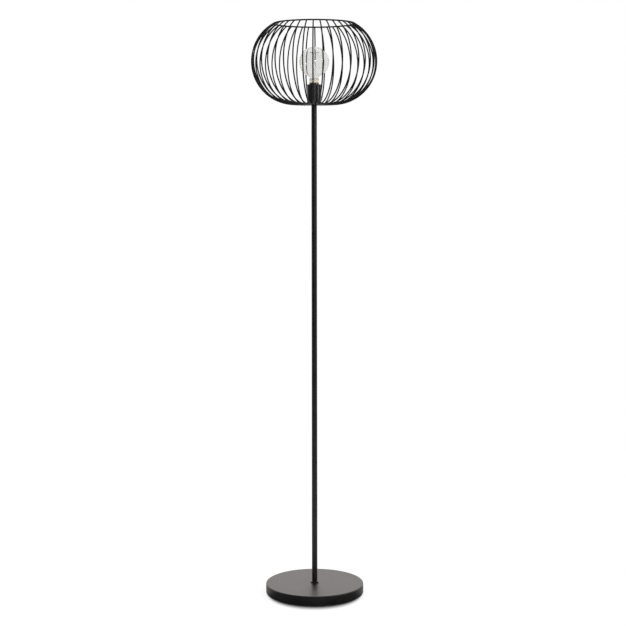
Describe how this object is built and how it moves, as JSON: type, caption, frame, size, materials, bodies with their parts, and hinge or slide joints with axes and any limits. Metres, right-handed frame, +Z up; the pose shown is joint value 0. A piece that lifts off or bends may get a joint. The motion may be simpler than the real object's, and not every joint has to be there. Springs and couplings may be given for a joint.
{
  "type": "wire cage floor lamp",
  "caption": "Tall floor lamp: a round flat foot, a slim straight pole and an open cage of bent wires around a clear globe bulb that unscrews from its holder.",
  "frame": {"origin": "on the floor, at the middle of the foot's underside", "axes": "+Z up along the pole, -Y towards the viewer, the lead inlet on the +Y side"},
  "size_m": [0.336, 0.336, 1.55],
  "materials": {
    "black_powder_coat": "satin black powder coat",
    "cement": "rough cast",
    "black_foam": "closed-cell foam",
    "zinc_steel": "zinc plated",
    "black_rubber": "moulded",
    "black_plastic": "moulded",
    "cap_metal": "bright rolled",
    "cream_plastic": "moulded",
    "solder": "soldered",
    "black_glass": "fused black glass",
    "clear_glass": "clear",
    "filament_wire": "drawn wire"
  },
  "bodies": {
    "lamp": {"base_cover": "black_powder_coat", "base_weight": "cement", "base_pad": "black_foam", "base_nut": "zinc_steel", "foot_collar": "black_powder_coat", "foot_stud": "zinc_steel", "lead_grommet": "black_rubber", "pole_lower": "black_powder_coat", "pole_middle": "black_powder_coat", "pole_upper": "black_powder_coat", "pole_nipples": "zinc_steel", "cage_hub": "black_powder_coat", "cage_ring": "black_powder_coat", "holder_cup": "black_powder_coat", "holder_insert": "black_plastic", "holder_shell": "cap_metal", "holder_tongue": "cap_metal", "cage_wires_01": "black_powder_coat", "cage_wires_02": "black_powder_coat", "cage_wires_03": "black_powder_coat", "cage_wires_04": "black_powder_coat", "cage_wires_05": "black_powder_coat", "cage_wires_06": "black_powder_coat", "cage_wires_07": "black_powder_coat", "cage_wires_08": "black_powder_coat", "cage_wires_09": "black_powder_coat", "cage_wires_10": "black_powder_coat", "cage_wires_11": "black_powder_coat", "cage_wires_12": "black_powder_coat", "cage_wires_13": "black_powder_coat", "cage_wires_14": "black_powder_coat", "cage_wires_15": "black_powder_coat", "cage_wires_16": "black_powder_coat", "cage_wires_17": "black_powder_coat", "cage_wires_18": "black_powder_coat", "cage_wires_19": "black_powder_coat", "cage_wires_20": "black_powder_coat"},
    "bulb_contact": {"bulb_tip": "solder", "bulb_insulator": "black_glass"},
    "bulb": {"bulb_cap": "cap_metal", "bulb_sleeve": "cream_plastic", "bulb_glass": "clear_glass", "bulb_stem": "clear_glass", "bulb_filament": "filament_wire"}
  },
  "joints": [
    {"name": "bulb_rise", "type": "slide", "parent": "lamp", "child": "bulb_contact", "axis": [0, 0, 1], "range_m": [0, 0.01452]},
    {"name": "bulb_unscrew", "type": "hinge", "parent": "bulb_contact", "child": "bulb", "pos_m": [0, 0, 1.36554], "axis": [0, 0, 1], "range_deg": [0, 1440]}
  ],
  "couplings": [
    {"joint": "bulb_rise", "follows": "bulb_unscrew", "m_per_rad": 0.00057757}
  ]
}
